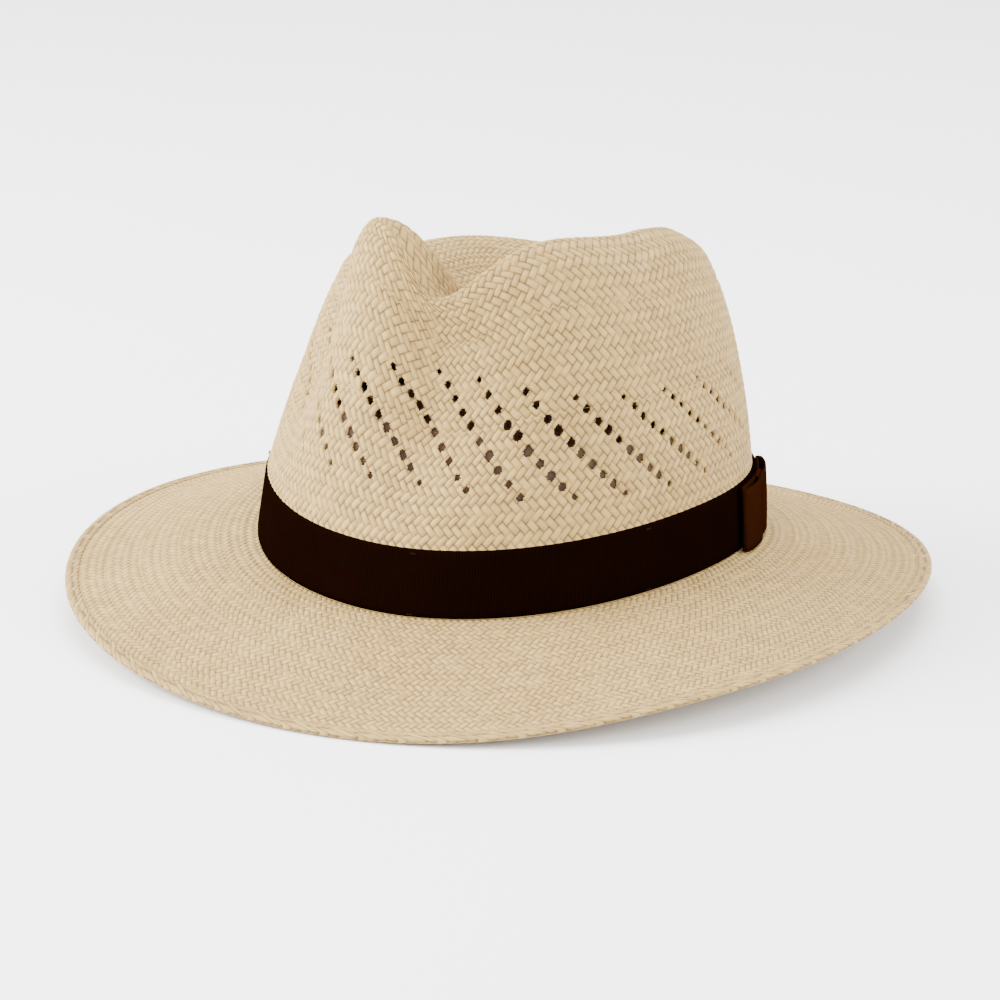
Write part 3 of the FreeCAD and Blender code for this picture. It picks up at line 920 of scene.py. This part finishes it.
# the bow takes the lighter copy of the ribbon grosgrain: painted light
dress(bowPieces[1:], finished(ribFinish, "bowGrosgrain"))
dress(sweatPieces, finished(leatherFinish, "sweatLeather"))
darkThread = finished(threadFinish, "darkThread")
dressNode("hatband_tacks", darkThread)
dressNode("sweatband_stitches", finished(threadFinish, "paleThread"))
dressNode("sweatband_reed", finished(threadFinish, "reedCloth", 900.0))
dressNode("sweatband_seam_tape", darkThread)
dressNode("size_tag", finished(threadFinish, "tagCloth", 1600.0))
print("finishes on")


# Studio: a pale floor, two broad side lights, one above and a soft one in front.
# Each light: power, size, and its place to the right of the camera's line, beyond the hat and up.
studio = {
    "floor": 6.0, "floorDrop": 0.0004, "paper": ((0.90, 0.90, 0.90, 1), (0.93, 0.93, 0.93, 1)),
    "world": 1.9, "aim": (0, 0, 0.08),
    "lights": {"leftLight": (116.0, 1.2, (-1.5, -0.25, 0.75)),
               "rightLight": (38.0, 1.2, (1.5, -0.45, 0.75)),
               "topLight": (60.0, 1.6, (0.0, 0.5, 1.7)),
               "frontLight": (18.0, 1.4, (0.0, -1.6, 0.9))},
}
camera = {"azimuth": 36.8, "elevation": 17.53, "roll": 1.65, "distance": 1.6157,
          "aim": (-0.0018, -0.0013, 0.0364), "lens": 153.5}


def buildFloor():
    bpy.ops.mesh.primitive_plane_add(size=studio["floor"], location=(0, 0, -studio["floorDrop"]))
    floor = bpy.context.object
    floor.name = "floor"
    bpy.ops.object.transform_apply(location=True)
    finish = Finish("floorPaper", 0.9)
    cloud = finish.noise(finish.place(), 8.0)
    finish.feed("Base Color", finish.mixed(cloud, *studio["paper"]))
    dress([floor], finish.material)


def addLight(name, energy, size, place):
    lamp = bpy.data.lights.new(name, "AREA")
    lamp.energy, lamp.size = energy, size
    holder = bpy.data.objects.new(name, lamp)
    bpy.context.collection.objects.link(holder)
    holder.location = place
    holder.rotation_euler = (Vector(studio["aim"]) - place).to_track_quat("-Z", "Y").to_euler()


def addCamera():
    azimuth, elevation = math.radians(camera["azimuth"]), math.radians(camera["elevation"])
    aim = Vector(camera["aim"])
    away = Vector((math.sin(azimuth) * math.cos(elevation), -math.cos(azimuth) * math.cos(elevation),
                   math.sin(elevation)))
    lens = bpy.data.cameras.new("camera")
    lens.lens, lens.sensor_width = camera["lens"], 36
    holder = bpy.data.objects.new("camera", lens)
    bpy.context.collection.objects.link(holder)
    turn = away.to_track_quat("Z", "Y").to_matrix() @ Matrix.Rotation(
        math.radians(camera["roll"]), 3, "Z")
    holder.matrix_world = Matrix.Translation(aim + away * camera["distance"]) @ turn.to_4x4()
    bpy.context.scene.camera = holder


buildFloor()
azimuth = math.radians(camera["azimuth"])
towards = Matrix(((math.cos(azimuth), -math.sin(azimuth), 0),
                  (math.sin(azimuth), math.cos(azimuth), 0), (0, 0, 1)))
for name, (energy, size, place) in studio["lights"].items():
    addLight(name, energy, size, towards @ Vector(place))
world = bpy.data.worlds.new("studioWorld")
world.use_nodes = True
background = world.node_tree.nodes["Background"]
background.inputs["Color"].default_value = (1, 1, 1, 1)
background.inputs["Strength"].default_value = studio["world"]
bpy.context.scene.world = world
addCamera()
print("studio ready")
